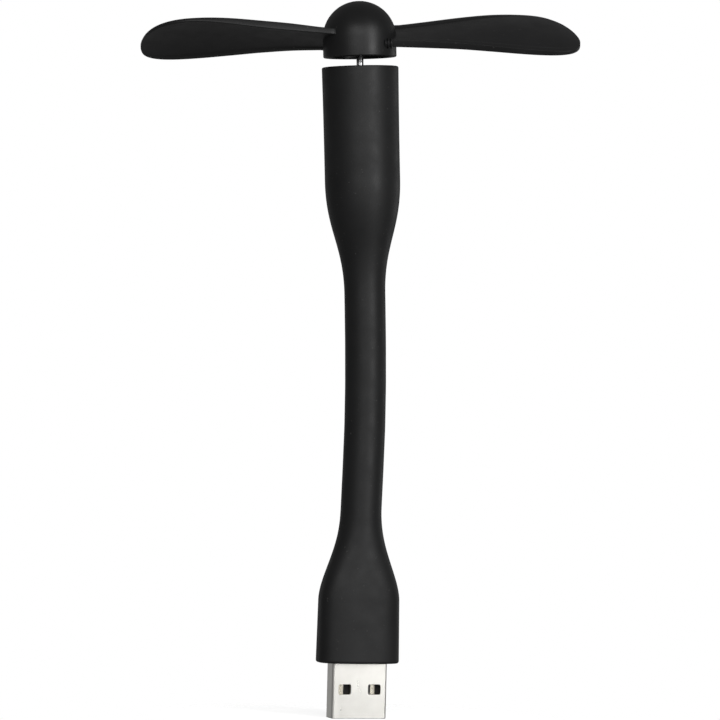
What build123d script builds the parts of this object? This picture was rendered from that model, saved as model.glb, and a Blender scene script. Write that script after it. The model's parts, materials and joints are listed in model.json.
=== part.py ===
from build123d import *
import math
import os

# A desk fan that stands on its own USB plug: a two-bladed propeller on a small brushed motor, in the
# head of a silicone body whose neck bends to any side and stays as it is set.
#
# Row frame: the origin is the centre of the plug, at the shoulder that meets the port. +Z runs up the
# body to the propeller, X lies along the plug's width and Y along its thickness.
#
# Everything is drawn on a straight centreline, with heights measured along it from the shoulder. The
# last step sets each body into the slight bow that the neck rests in.

# ---- Driving dimensions, in millimetres and degrees ----

# Lengths along the centreline.
BASE_LENGTH = 32.0  # shoulder to the first bending place of the neck
NECK_LENGTH = 45.0  # first bending place to the last
ROTOR_GAP = 2.0  # rim of the head to the skirt of the spinner

# Silicone body.
NECK_DIAMETER = 8.7
SLEEVE_WALL = 1.3  # silicone over the hard parts at both ends
RIM_FLARE = 0.15  # how far the rim stands out beyond the cylinder of the head
TAPER_FOOT = 1.2  # last bending place to the start of the head's taper
TAPER_LEAD = 2.85  # how far the taper runs on above the cone of the motor holder
TAPER_HANDLE = 0.44  # stiffness of that curve: 0 is sharp, 0.5 is slack
BASE_STRAIGHT = 13.0  # nearly straight stretch of the base, above the shoulder
BASE_DRAFT = 0.2  # how far the base narrows over that stretch, on each side
FLARE_OVERRUN = 1.5  # how far the base goes on narrowing past the first bending place
FLARE_SKEW = 1.3  # above 1 moves the narrowing down towards the base
SHOULDER_ROUND = 0.5
BASE_SQUARENESS = 2.9  # exponent of the base's superellipse; 2 is an ellipse

# Bending neck: hinges to the side (about Y) and to the front (about X) take turns.
NECK_JOINTS = 11
NECK_BEND = 90.0  # furthest bend of the whole neck, each way, in each plane
JOINT_MARGIN = 0.3  # room left between two neck pieces at their furthest bend, in degrees
RESTING_KINKS = (1.45, -0.4, -1.42, -1.15, -0.7, -0.48)  # side hinges, from the base up

# Wires inside the neck.
CORE_DIAMETER = 1.8  # annealed steel wire that holds the bend
LEAD_DIAMETER = 1.1
LEAD_GAP = 0.15  # between the steel wire and a lead
CORE_LIFT = 4.5  # contacts' tails to the foot of the steel wire
CORE_ANCHOR = 6.0  # length of the steel wire held in the stem of the motor holder

# USB plug.
PLUG_WIDTH = 12.0
PLUG_THICKNESS = 4.5
PLUG_REACH = 11.75  # shell beyond the shoulder
PLUG_ROOT = 7.0  # shell inside the base
SHELL_WALL = 0.3
SHELL_CORNER = 0.45
MOUTH_CHAMFER = 0.12
WINDOW_WIDTH = 2.8
WINDOW_HEIGHT = 2.2
WINDOW_CORNER = 0.4
WINDOW_SPACING = 6.5
WINDOW_FROM_TIP = 5.1
TONGUE_THICKNESS = 1.84
TONGUE_SET_BACK = 0.4  # mouth of the shell to the tongue
PORT_DEPTH = 9.0  # mouth of the shell to the block behind the tongue
BLOCK_SET_BACK = 0.5  # block's back to the shell's back
CONTACT_WIDTH = 1.0
CONTACT_THICKNESS = 0.25
CONTACT_PROUD = 0.1
CONTACT_CENTRES = (-3.5, -1.0, 1.0, 3.5)
POWER_SET_BACK = 1.0  # tongue's tip to the outer contacts
SIGNAL_SET_BACK = 2.0  # tongue's tip to the inner contacts
TAIL_LENGTH = 2.0  # contacts behind the shell
SOLDER_OVERLAP = 0.8
SOLDER_WALL = 0.25

# Hard mould round the back of the plug.
MOULD_WALL = 1.5
MOULD_RECESS = 0.3  # mould's face above the shoulder
MOULD_LEAD = 2.0  # how far below the base's flare the mould begins to narrow
MOULD_DROP = 10.0  # top of the mould's stem to the first bending place
STEM_WALL = 0.55  # hard plastic round the leads in both stems
LEAD_RISE = 2.2  # straight stretch of lead above a contact's tail
LEAD_CROSSING = 5.0  # height over which the lead comes in to the centreline
LEAD_BEND = 1.6

# Motor.
MOTOR_DIAMETER = 12.0
MOTOR_FLAT_DEPTH = 1.0
MOTOR_LENGTH = 20.0
CAN_WALL = 0.6
CAN_BOSS_DIAMETER = 4.8
CAN_BOSS_HEIGHT = 0.9
SHAFT_DIAMETER = 1.5
RUNNING_CLEARANCE = 0.02
BEARING_WALL = 1.1
BEARING_LENGTH = 2.4
END_CAP_FLANGE = 1.0
END_CAP_PLUG = 2.1
MAGNET_THICKNESS = 1.3
MAGNET_LENGTH = 12.0
MAGNET_ARC = 100.0
AIR_GAP = 0.25
ROTOR_LENGTH = 9.0
ROTOR_FROM_TOP = 4.4  # inside face of the can to the laminations
POLE_STEM = 1.4
POLE_SHOE = 0.85
POLE_ARC = 96.0
POLES = 3
COIL_WIDTH = 3.0
COIL_OVERHANG = 1.1
COIL_ROOM = 0.15
COLLAR_WALL = 0.7
COMMUTATOR_DIAMETER = 3.4
COMMUTATOR_LENGTH = 2.4
COMMUTATOR_SEGMENT = 0.45
COMMUTATOR_SLOT = 0.3
WASHER_THICKNESS = 0.3
WASHER_DIAMETER = 3.0
BRUSH_THICKNESS = 0.15
BRUSH_HEIGHT = 1.2
BRUSH_GAP = 0.05
TERMINAL_WIDTH = 1.2
TERMINAL_THICKNESS = 0.3
TERMINAL_INSET = 1.4  # terminal to the inside of the can
TERMINAL_DROP = 2.6  # terminal below the end cap

# Motor holder and the cap over it.
HOLDER_CLEARANCE = 0.1
HOLDER_WALL = 0.6
CHAMBER_CLEARANCE = 0.1
CHAMBER_DEPTH = 5.5
HOLDER_CONE = 8.0
HOLDER_CONE_START = 4.4  # end cap to the top of the cone
HOLDER_STEM = 7.5
STEM_START = 7.05  # last bending place to the foot of the holder's stem
CAP_THICKNESS = 1.2
CAP_RECESS = 0.25
CAP_CLEARANCE = 0.15
CAP_GROOVE = 0.4

# Propeller.
HUB_DIAMETER = 15.56
HUB_SKIRT = 4.2
HUB_WALL = 1.2
SKIRT_ROUND = 0.3
HUB_BOSS_WALL = 0.7
HUB_BOSS_LIFT = 0.9  # boss above the edge of the skirt
HUB_RIB = 1.0
BUSH_WALL = 0.95
BUSH_LENGTH = 6.0
BUSH_LIFT = 0.5  # bush above the end of its boss
SHAFT_END_ROOM = 0.4
BLADE_TIP_RADIUS = 46.6
BLADE_PITCHES = (26.0, 20.5)  # the soft blades don't sit quite alike
BLADE_TILT = 0.55  # lean of the pair against the spinner, down on the first blade's side
BLADE_AXIS_HEIGHT = 4.25  # pitch axis above the edge of the skirt
BLADE_ROOT_GAP = 0.62  # spinner to the first section of the paddle
BARB_RADIUS = 1.0
BARB_FROM_BOSS = 0.9
BARB_CLEARANCE = 0.1
BARB_LENGTH = 6.4
SLOT_CLEARANCE = 0.03
PARKED_ANGLE = -16.0  # where the propeller has stopped, about the motor's axis
# (share of the way from root to tip, rising edge, falling edge, thickness, twist in degrees). The edges
# are distances from the pitch axis, along the chord.
BLADE_STATIONS = (
    (0.000, 6.00, 5.50, 1.35, -3.0),
    (0.150, 7.20, 5.80, 1.30, -2.0),
    (0.320, 8.60, 6.30, 1.25, -1.0),
    (0.500, 9.90, 7.60, 1.15, 0.0),
    (0.660, 10.20, 9.00, 1.05, 0.5),
    (0.790, 9.20, 9.80, 1.00, 0.5),
    (0.890, 6.80, 9.70, 0.95, 0.5),
    (0.955, 3.40, 8.80, 0.90, 0.5),
    (0.990, -0.60, 7.00, 0.85, 0.5),
    (1.000, -2.50, 5.30, 0.80, 0.5),
)

# ---- Worked out from the driving dimensions ----

NECK_TOP = BASE_LENGTH + NECK_LENGTH
PITCH = NECK_LENGTH / (NECK_JOINTS - 1)
NECK_RADIUS = NECK_DIAMETER / 2
SIDE_JOINTS = (NECK_JOINTS + 1) // 2
FRONT_JOINTS = NECK_JOINTS // 2

CORE_RADIUS = CORE_DIAMETER / 2
LEAD_RADIUS = LEAD_DIAMETER / 2
LEAD_OFFSET = CORE_RADIUS + LEAD_GAP + LEAD_RADIUS
STEM_RADIUS = LEAD_OFFSET + LEAD_RADIUS + STEM_WALL

FLARE_REACH = BASE_LENGTH + FLARE_OVERRUN - BASE_STRAIGHT
MOULD_STRAIGHT = BASE_STRAIGHT - MOULD_LEAD
MOULD_TOP = BASE_LENGTH - MOULD_DROP
MOULD_HALF = (PLUG_WIDTH / 2 + MOULD_WALL, PLUG_THICKNESS / 2 + MOULD_WALL)
BASE_HALF = (MOULD_HALF[0] + SLEEVE_WALL, MOULD_HALF[1] + SLEEVE_WALL)

MOUTH = -PLUG_REACH
SHELL_BACK = PLUG_ROOT
TONGUE_TIP = MOUTH + TONGUE_SET_BACK
BLOCK_FRONT = MOUTH + PORT_DEPTH
BLOCK_BACK = SHELL_BACK - BLOCK_SET_BACK
INNER_HALF = (PLUG_WIDTH / 2 - SHELL_WALL, PLUG_THICKNESS / 2 - SHELL_WALL)
TONGUE_FACE = INNER_HALF[1] - TONGUE_THICKNESS  # the side of the tongue that carries the contacts
CONTACT_MIDDLE = TONGUE_FACE - CONTACT_PROUD + CONTACT_THICKNESS / 2
TAIL_END = SHELL_BACK + TAIL_LENGTH
CORE_FOOT = TAIL_END + CORE_LIFT

MOTOR_RADIUS = MOTOR_DIAMETER / 2
MOTOR_FLATS = MOTOR_DIAMETER - 2 * MOTOR_FLAT_DEPTH
HOLDER_RADIUS = MOTOR_RADIUS + HOLDER_CLEARANCE + HOLDER_WALL
HEAD_RADIUS = HOLDER_RADIUS + SLEEVE_WALL
STEM_BOTTOM = NECK_TOP + STEM_START
CONE_BOTTOM = STEM_BOTTOM + HOLDER_STEM
CONE_TOP = CONE_BOTTOM + HOLDER_CONE
END_CAP_BOTTOM = CONE_TOP + HOLDER_CONE_START
CAN_BOTTOM = END_CAP_BOTTOM + END_CAP_FLANGE
CAN_TOP = CAN_BOTTOM + MOTOR_LENGTH
CAP_TOP = CAN_TOP + CAP_THICKNESS
RIM = CAP_TOP + CAP_RECESS
CORE_TOP = STEM_BOTTOM + CORE_ANCHOR
END_CAP_TOP = CAN_BOTTOM + END_CAP_PLUG
SHAFT_RADIUS = SHAFT_DIAMETER / 2
BEARING_RADIUS = SHAFT_RADIUS + BEARING_WALL
FRONT_BEARING_TOP = CAN_TOP + CAN_BOSS_HEIGHT
FRONT_BEARING_BOTTOM = FRONT_BEARING_TOP - BEARING_LENGTH
REAR_BEARING_BOTTOM = END_CAP_BOTTOM
REAR_BEARING_TOP = REAR_BEARING_BOTTOM + BEARING_LENGTH
MAGNET_RADIUS = MOTOR_RADIUS - CAN_WALL
ROTOR_RADIUS = MAGNET_RADIUS - MAGNET_THICKNESS - AIR_GAP
ROTOR_TOP = CAN_TOP - CAN_WALL - ROTOR_FROM_TOP
ROTOR_BOTTOM = ROTOR_TOP - ROTOR_LENGTH
COMMUTATOR_RADIUS = COMMUTATOR_DIAMETER / 2
COMMUTATOR_BOTTOM = ROTOR_BOTTOM - COIL_OVERHANG - COMMUTATOR_LENGTH - COIL_ROOM
COLLAR_RADIUS = SHAFT_RADIUS + COLLAR_WALL
COMMUTATOR_CORE_RADIUS = COMMUTATOR_RADIUS - COMMUTATOR_SEGMENT
BRUSH_MIDDLE = COMMUTATOR_BOTTOM + COMMUTATOR_LENGTH / 2
TERMINAL_SPREAD = MOTOR_RADIUS - CAN_WALL - TERMINAL_INSET
TERMINAL_BOTTOM = END_CAP_BOTTOM - TERMINAL_DROP
CHAMBER_RADIUS = TERMINAL_SPREAD + LEAD_RADIUS + SOLDER_WALL + CHAMBER_CLEARANCE
CHAMBER_FLOOR = END_CAP_BOTTOM - CHAMBER_DEPTH

HUB_RADIUS = HUB_DIAMETER / 2
HUB_INNER = HUB_RADIUS - HUB_WALL
SKIRT_EDGE = RIM + ROTOR_GAP
DOME_CENTRE = SKIRT_EDGE + HUB_SKIRT
BLADE_AXIS = SKIRT_EDGE + BLADE_AXIS_HEIGHT
BOSS_BOTTOM = SKIRT_EDGE + HUB_BOSS_LIFT
BUSH_BOTTOM = BOSS_BOTTOM + BUSH_LIFT
BUSH_TOP = BUSH_BOTTOM + BUSH_LENGTH
BUSH_RADIUS = SHAFT_RADIUS + BUSH_WALL
BOSS_RADIUS = BUSH_RADIUS + HUB_BOSS_WALL
TAB_RADIUS = BOSS_RADIUS + BARB_FROM_BOSS + BARB_RADIUS  # the axis of a blade's barb
BLADE_ROOT_RADIUS = HUB_RADIUS + BLADE_ROOT_GAP
SHAFT_TOP = BUSH_TOP - SHAFT_END_ROOM
SHAFT_BOTTOM = REAR_BEARING_BOTTOM + WASHER_THICKNESS

UP = (Align.CENTER, Align.CENTER, Align.MIN)
FAR = 60.0  # longer than anything that a cutting block has to clear


# ---- Shapes used more than once ----


def post(radius, low, high, x=0.0, y=0.0):
    """A round bar along Z."""
    return Pos(x, y, low) * Cylinder(radius, high - low, align=UP)


def ring(outer, inner, low, high):
    """A round tube along Z."""
    return post(outer, low, high) - post(inner, low, high)


def block(x_low, x_high, y_low, y_high, low, high):
    """A rectangular block between the given faces."""
    return Pos((x_low + x_high) / 2, (y_low + y_high) / 2, low) * Box(
        x_high - x_low, y_high - y_low, high - low, align=UP
    )


def turned(edges):
    """The solid that a closed outline of (radius, height) edges makes, turned about Z."""
    return revolve(Plane.XZ * make_face(edges), Axis.Z)


def smooth(share):
    """0 below 0, 1 above 1, and an even S between them."""
    share = min(max(share, 0.0), 1.0)
    return share * share * (3 - 2 * share)


def pipe(points, radius, bend):
    """A round wire along straight runs joined by arcs."""
    path = FilletPolyline(*points, radius=bend)
    start = Plane(origin=path @ 0, z_dir=path % 0)
    return sweep(start * Circle(radius), path=path)


def oval(half_width, half_depth, squareness, height, corners=24):
    """A superellipse as one closed curve: |x/a|^n + |y/b|^n = 1."""
    points = []
    for i in range(corners):
        turn = 2 * math.pi * i / corners
        c, s = math.cos(turn), math.sin(turn)
        points.append(
            (
                half_width * math.copysign(abs(c) ** (2 / squareness), c),
                half_depth * math.copysign(abs(s) ** (2 / squareness), s),
                height,
            )
        )
    return Face(Wire([Spline(*points, periodic=True)]))


def both_sides(shape):
    """The shape and its copy, half a turn about Z away."""
    return [shape, Rot(0, 0, 180) * shape]


def can_outline(radius, flats):
    """A circle with two flats, which face +Y and -Y."""
    return Circle(radius) & Rectangle(2 * radius, flats)


def can_prism(radius, flats, low, high):
    """The circle with two flats, as a bar along Z."""
    return Pos(0, 0, low) * extrude(can_outline(radius, flats), high - low)


# ---- Bending places ----


def joint_height(j):
    """Height of hinge j on the straight centreline."""
    return BASE_LENGTH + j * PITCH


def is_side(j):
    """Even hinges bend the neck to the side, about Y. Odd ones bend it to the front, about X."""
    return j % 2 == 0


def hinge_range(j):
    """How far hinge j turns each way."""
    return NECK_BEND / (SIDE_JOINTS if is_side(j) else FRONT_JOINTS)


def resting_kink(j):
    """The small angle that hinge j rests at."""
    return RESTING_KINKS[j // 2] if is_side(j) else 0.0


def half_gap(j):
    """Slope of the two faces that meet at hinge j, so that they clear each other at its limits."""
    return (hinge_range(j) + abs(resting_kink(j)) + JOINT_MARGIN) / 2


def wedge(j, above):
    """Everything on one side of hinge j, down to a ridge along the hinge's axis."""
    side = 1 if above else -1
    rise = side * FAR * math.tan(math.radians(half_gap(j)))
    outline = Polyline(
        (0, 0), (FAR, rise), (FAR, side * 2 * FAR), (-FAR, side * 2 * FAR), (-FAR, rise), close=True
    )
    solid = extrude(Plane.XZ * make_face(outline), FAR, both=True)
    if not is_side(j):
        solid = Rot(0, 0, 90) * solid
    return Pos(0, 0, joint_height(j)) * solid


def resting_places():
    """Where each body goes: the base, the neck pieces from the base up, then the head."""
    places = [Pos(0, 0, 0)]
    for j in range(NECK_JOINTS):
        height = joint_height(j)
        kink = Pos(0, 0, height) * Rot(0, resting_kink(j), 0) * Pos(0, 0, -height)
        places.append(places[-1] * kink)
    return places


# ---- Wires ----


def core_wire(low, high):
    """The steel wire between two heights."""
    return post(CORE_RADIUS, low, high)


def straight_leads(low, high):
    """The two leads between two heights, where they run beside the steel wire."""
    return [post(LEAD_RADIUS, low, high, x=x) for x in (-LEAD_OFFSET, LEAD_OFFSET)]


def base_lead(side):
    """One lead from its contact's tail up to the first hinge."""
    x = side * CONTACT_CENTRES[-1]
    bend_start = TAIL_END + LEAD_RISE
    return pipe(
        (
            (x, CONTACT_MIDDLE, TAIL_END),
            (x, CONTACT_MIDDLE, bend_start),
            (side * LEAD_OFFSET, 0, bend_start + LEAD_CROSSING),
            (side * LEAD_OFFSET, 0, BASE_LENGTH),
        ),
        LEAD_RADIUS,
        LEAD_BEND,
    )


def head_lead(side):
    """One lead from the last hinge up to its terminal."""
    rise = (TERMINAL_BOTTOM - CHAMBER_FLOOR) / 3
    return pipe(
        (
            (side * LEAD_OFFSET, 0, NECK_TOP),
            (side * LEAD_OFFSET, 0, CHAMBER_FLOOR + rise / 2),
            (side * TERMINAL_SPREAD, 0, TERMINAL_BOTTOM - rise / 2),
            (side * TERMINAL_SPREAD, 0, TERMINAL_BOTTOM),
        ),
        LEAD_RADIUS,
        rise / 2,
    )


# ---- USB plug ----


def plug_bar(half, corner, low, high):
    """A bar along Z with the plug's rounded rectangle as its section."""
    outline = RectangleRounded(2 * half[0], 2 * half[1], corner)
    return Pos(0, 0, low) * extrude(outline, high - low)


def plug_shell():
    """The folded steel shell, with two latching windows in each broad side."""
    outer_half = (PLUG_WIDTH / 2, PLUG_THICKNESS / 2)
    shell = plug_bar(outer_half, SHELL_CORNER, MOUTH, SHELL_BACK)
    mouth_edges = shell.faces().sort_by(Axis.Z)[0].edges()
    shell = chamfer(mouth_edges, MOUTH_CHAMFER)
    shell -= plug_bar(INNER_HALF, SHELL_CORNER - SHELL_WALL, MOUTH, SHELL_BACK)
    window = RectangleRounded(WINDOW_WIDTH, WINDOW_HEIGHT, WINDOW_CORNER)
    height = MOUTH + WINDOW_FROM_TIP + WINDOW_HEIGHT / 2
    for x in (-WINDOW_SPACING / 2, WINDOW_SPACING / 2):
        shell -= Pos(x, 0, height) * extrude(Plane.XZ * window, PLUG_THICKNESS, both=True)
    return shell


def contact(x):
    """One contact: a strip along the tongue, through the block, with a tail behind the shell."""
    outer = abs(x) == max(CONTACT_CENTRES)
    set_back = POWER_SET_BACK if outer else SIGNAL_SET_BACK
    return block(
        x - CONTACT_WIDTH / 2,
        x + CONTACT_WIDTH / 2,
        CONTACT_MIDDLE - CONTACT_THICKNESS / 2,
        CONTACT_MIDDLE + CONTACT_THICKNESS / 2,
        TONGUE_TIP + set_back,
        TAIL_END,
    )


def plug_contacts():
    """The four contacts."""
    return [contact(x) for x in CONTACT_CENTRES]


def plug_tongue():
    """The insulating tongue with the block behind it, which the contacts pass through."""
    tongue = block(-INNER_HALF[0], INNER_HALF[0], TONGUE_FACE, INNER_HALF[1], TONGUE_TIP, BLOCK_FRONT)
    body = block(-INNER_HALF[0], INNER_HALF[0], -INNER_HALF[1], INNER_HALF[1], BLOCK_FRONT, BLOCK_BACK)
    solid = (tongue + body) & plug_bar(INNER_HALF, SHELL_CORNER - SHELL_WALL, MOUTH, SHELL_BACK)
    for strip in plug_contacts():
        solid -= strip
    return solid


def plug_solder():
    """A bead of solder round each outer contact's tail and its lead."""
    beads = []
    for side in (-1, 1):
        x = side * CONTACT_CENTRES[-1]
        bead = post(
            LEAD_RADIUS + SOLDER_WALL, TAIL_END - SOLDER_OVERLAP, TAIL_END + SOLDER_OVERLAP, x, CONTACT_MIDDLE
        )
        beads.append(bead - contact(x) - base_lead(side))
    return beads


# ---- Base ----


def mould_body():
    """Outer shape of the hard mould: an oval block that narrows to a round stem."""
    sections = [oval(*MOULD_HALF, BASE_SQUARENESS, MOULD_RECESS)]
    steps = 5
    for i in range(steps + 1):
        share = smooth(i / steps)
        sections.append(
            oval(
                MOULD_HALF[0] + (STEM_RADIUS - MOULD_HALF[0]) * share,
                MOULD_HALF[1] + (STEM_RADIUS - MOULD_HALF[1]) * share,
                BASE_SQUARENESS + (2 - BASE_SQUARENESS) * share,
                MOULD_STRAIGHT + (MOULD_TOP - MOULD_STRAIGHT) * i / steps,
            )
        )
    straight = loft(sections[:2], ruled=True)
    return straight + loft(sections[1:])


def plug_mould():
    """The hard mould round the plug's back, the solder, the leads and the foot of the steel wire."""
    solid = mould_body()
    solid -= plug_bar((PLUG_WIDTH / 2, PLUG_THICKNESS / 2), SHELL_CORNER, 0, SHELL_BACK)
    for strip in plug_contacts():
        solid -= strip
    for bead in plug_solder():
        solid -= bead
    for side in (-1, 1):
        solid -= base_lead(side)
    return solid - core_wire(CORE_FOOT, MOULD_TOP)


def flare_share(height):
    """0 on the straight part of the base, 1 on the neck."""
    up = (height - BASE_STRAIGHT) / FLARE_REACH
    return 1 - smooth((1 - min(max(up, 0.0), 1.0)) ** FLARE_SKEW)


def base_section(height):
    """Section of the silicone at a height: an oval at the shoulder, a circle at the neck."""
    share = flare_share(height)
    draft = BASE_DRAFT * min(height / BASE_STRAIGHT, 1.0)
    return oval(
        BASE_HALF[0] - draft + (NECK_RADIUS - BASE_HALF[0] + draft) * share,
        BASE_HALF[1] - draft + (NECK_RADIUS - BASE_HALF[1] + draft) * share,
        BASE_SQUARENESS + (2 - BASE_SQUARENESS) * share,
        height,
    )


def base_sleeve():
    """The silicone of the base, up to the first hinge."""
    steps = 8
    flare = [base_section(BASE_STRAIGHT + FLARE_REACH * i / steps) for i in range(steps + 1)]
    straight = loft([base_section(0), base_section(BASE_STRAIGHT)], ruled=True)
    shoulder_edges = straight.faces().sort_by(Axis.Z)[0].edges()
    solid = fillet(shoulder_edges, SHOULDER_ROUND) + loft(flare)
    solid = solid & wedge(0, above=False)
    solid -= mould_body()
    solid -= block(-MOULD_HALF[0], MOULD_HALF[0], -MOULD_HALF[1], MOULD_HALF[1], 0, MOULD_RECESS) & loft(
        [oval(*MOULD_HALF, BASE_SQUARENESS, 0), oval(*MOULD_HALF, BASE_SQUARENESS, MOULD_RECESS)], ruled=True
    )
    solid -= core_wire(MOULD_TOP, BASE_LENGTH)
    for lead in straight_leads(MOULD_TOP, BASE_LENGTH):
        solid -= lead
    return solid


def base_core_wire():
    """The steel wire from its foot to the first hinge."""
    return core_wire(CORE_FOOT, BASE_LENGTH) & wedge(0, above=False)


def base_leads():
    """Both leads from the contacts to the first hinge."""
    return [base_lead(side) & wedge(0, above=False) for side in (-1, 1)]


# ---- Neck ----


def neck_sleeve(k):
    """Silicone of neck piece k, between hinges k - 1 and k."""
    low, high = joint_height(k - 1), joint_height(k)
    solid = post(NECK_RADIUS, low, high) - core_wire(low, high)
    for lead in straight_leads(low, high):
        solid -= lead
    return solid & wedge(k - 1, above=True) & wedge(k, above=False)


def neck_wires(k, wires):
    """The given wires, cut to neck piece k."""
    room = wedge(k - 1, above=True) & wedge(k, above=False)
    return [wire & room for wire in wires]


# ---- Head ----


def holder_body():
    """Outer shape of the motor holder: a cup on a cone and a stem."""
    return turned(
        Polyline(
            (0, STEM_BOTTOM),
            (STEM_RADIUS, STEM_BOTTOM),
            (STEM_RADIUS, CONE_BOTTOM),
            (HOLDER_RADIUS, CONE_TOP),
            (HOLDER_RADIUS, CAN_TOP),
            (0, CAN_TOP),
            close=True,
        )
    )


def motor_holder():
    """The hard cup that the motor is pushed into, with a chamber for its wiring below."""
    solid = holder_body()
    solid -= can_prism(
        MOTOR_RADIUS + HOLDER_CLEARANCE, MOTOR_FLATS + 2 * HOLDER_CLEARANCE, END_CAP_BOTTOM, CAN_TOP
    )
    solid -= post(CHAMBER_RADIUS, CHAMBER_FLOOR, END_CAP_BOTTOM)
    solid -= core_wire(STEM_BOTTOM, CORE_TOP)
    for lead in straight_leads(STEM_BOTTOM, CHAMBER_FLOOR):
        solid -= lead
    return solid


def head_sleeve():
    """The silicone of the head, from the last hinge to the rim."""
    taper_top = CONE_TOP + TAPER_LEAD
    taper_bottom = NECK_TOP + TAPER_FOOT
    handle = TAPER_HANDLE * (taper_top - taper_bottom)
    bottom = NECK_TOP - SLEEVE_WALL
    outline = Curve() + [
        Line((0, bottom), (NECK_RADIUS, bottom)),
        Line((NECK_RADIUS, bottom), (NECK_RADIUS, taper_bottom)),
        Bezier(
            (NECK_RADIUS, taper_bottom),
            (NECK_RADIUS, taper_bottom + handle),
            (HEAD_RADIUS, taper_top - handle),
            (HEAD_RADIUS, taper_top),
        ),
        Bezier(
            (HEAD_RADIUS, taper_top),
            (HEAD_RADIUS, (taper_top + RIM) / 2),
            (HEAD_RADIUS + RIM_FLARE, RIM),
        ),
        Line((HEAD_RADIUS + RIM_FLARE, RIM), (0, RIM)),
        Line((0, RIM), (0, bottom)),
    ]
    solid = turned(outline)
    solid = fillet(solid.edges().filter_by(GeomType.CIRCLE).sort_by(Axis.Z)[-1], RIM_FLARE + 0.15)
    solid = solid & wedge(NECK_JOINTS - 1, above=True)
    solid -= holder_body()
    solid -= post(HOLDER_RADIUS, CAN_TOP, RIM)
    solid -= core_wire(NECK_TOP, STEM_BOTTOM)
    for lead in straight_leads(NECK_TOP, STEM_BOTTOM):
        solid -= lead
    return solid


def head_cap():
    """The hard disc that closes the head, with a hole for the motor's boss and a groove round it."""
    outer = HOLDER_RADIUS - HOLDER_CLEARANCE
    hole = CAN_BOSS_DIAMETER / 2 + CAP_CLEARANCE
    solid = ring(outer, hole, CAN_TOP, CAP_TOP)
    groove_middle = (outer + hole) / 2
    groove = ring(
        groove_middle + CAP_GROOVE, groove_middle - CAP_GROOVE, CAP_TOP - CAP_GROOVE, CAP_TOP
    )
    return solid - groove


def head_core_wire():
    """The steel wire from the last hinge to its end in the holder's stem."""
    return core_wire(NECK_TOP, CORE_TOP) & wedge(NECK_JOINTS - 1, above=True)


def head_leads():
    """Both leads from the last hinge to the terminals."""
    return [head_lead(side) & wedge(NECK_JOINTS - 1, above=True) for side in (-1, 1)]


# ---- Motor ----


def motor_can():
    """The drawn steel can, open at the bottom, with a boss for the front bearing."""
    solid = can_prism(MOTOR_RADIUS, MOTOR_FLATS, CAN_BOTTOM, CAN_TOP)
    solid -= can_prism(
        MOTOR_RADIUS - CAN_WALL, MOTOR_FLATS - 2 * CAN_WALL, CAN_BOTTOM, CAN_TOP - CAN_WALL
    )
    solid += post(CAN_BOSS_DIAMETER / 2, CAN_TOP, FRONT_BEARING_TOP)
    return solid - post(BEARING_RADIUS, CAN_TOP - CAN_WALL, FRONT_BEARING_TOP)


def motor_bearings():
    """Two sintered bushes with running clearance on the shaft, one in the can and one in the end cap."""
    clear = SHAFT_RADIUS + RUNNING_CLEARANCE
    return [
        ring(BEARING_RADIUS, clear, FRONT_BEARING_BOTTOM, FRONT_BEARING_TOP),
        ring(BEARING_RADIUS, clear, REAR_BEARING_BOTTOM, REAR_BEARING_TOP),
    ]


def motor_magnets():
    """Two arc magnets against the round sides of the can."""
    middle = (ROTOR_TOP + ROTOR_BOTTOM) / 2
    low, high = middle - MAGNET_LENGTH / 2, middle + MAGNET_LENGTH / 2
    tube = ring(MAGNET_RADIUS, MAGNET_RADIUS - MAGNET_THICKNESS, low, high)
    tube = tube & can_prism(MAGNET_RADIUS, MOTOR_FLATS - 2 * CAN_WALL, low, high)
    spread = math.radians(MAGNET_ARC / 2)
    corner = (FAR * math.cos(spread), FAR * math.sin(spread))
    sector = make_face(Polyline((0, 0), corner, (corner[0], -corner[1]), close=True))
    return both_sides(tube & Pos(0, 0, low) * extrude(sector, high - low))


def terminals():
    """Two tabs that pass through the end cap."""
    half = TERMINAL_THICKNESS / 2
    tab = block(
        TERMINAL_SPREAD - half,
        TERMINAL_SPREAD + half,
        -TERMINAL_WIDTH / 2,
        TERMINAL_WIDTH / 2,
        TERMINAL_BOTTOM,
        BRUSH_MIDDLE - BRUSH_HEIGHT / 2,
    )
    return both_sides(tab)


def brushes():
    """Two leaf brushes that stand on the terminals and bear on the commutator."""
    low, high = BRUSH_MIDDLE - BRUSH_HEIGHT / 2, BRUSH_MIDDLE + BRUSH_HEIGHT / 2
    face = COMMUTATOR_RADIUS + BRUSH_GAP
    half = TERMINAL_WIDTH / 2
    leaf = block(face, face + BRUSH_THICKNESS, -COMMUTATOR_RADIUS, half, low, high)
    foot = block(
        face, TERMINAL_SPREAD + TERMINAL_THICKNESS / 2, half - BRUSH_THICKNESS, half, low, high
    )
    return both_sides(leaf + foot)


def motor_end_cap():
    """The plastic cap in the open end of the can, which holds the rear bearing and the terminals."""
    solid = can_prism(MOTOR_RADIUS, MOTOR_FLATS, END_CAP_BOTTOM, CAN_BOTTOM)
    solid += can_prism(
        MOTOR_RADIUS - CAN_WALL, MOTOR_FLATS - 2 * CAN_WALL, CAN_BOTTOM, END_CAP_TOP
    )
    solid -= post(BEARING_RADIUS, REAR_BEARING_BOTTOM, END_CAP_TOP)
    for tab in terminals():
        solid -= tab
    return solid


def terminal_solder():
    """A bead of solder round each terminal's end and its lead."""
    low, high = TERMINAL_BOTTOM - SOLDER_OVERLAP, TERMINAL_BOTTOM + SOLDER_OVERLAP
    bead = post(LEAD_RADIUS + SOLDER_WALL, low, high, x=TERMINAL_SPREAD)
    return both_sides(bead - terminals()[0] - head_lead(1))


# ---- Rotor ----


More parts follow.
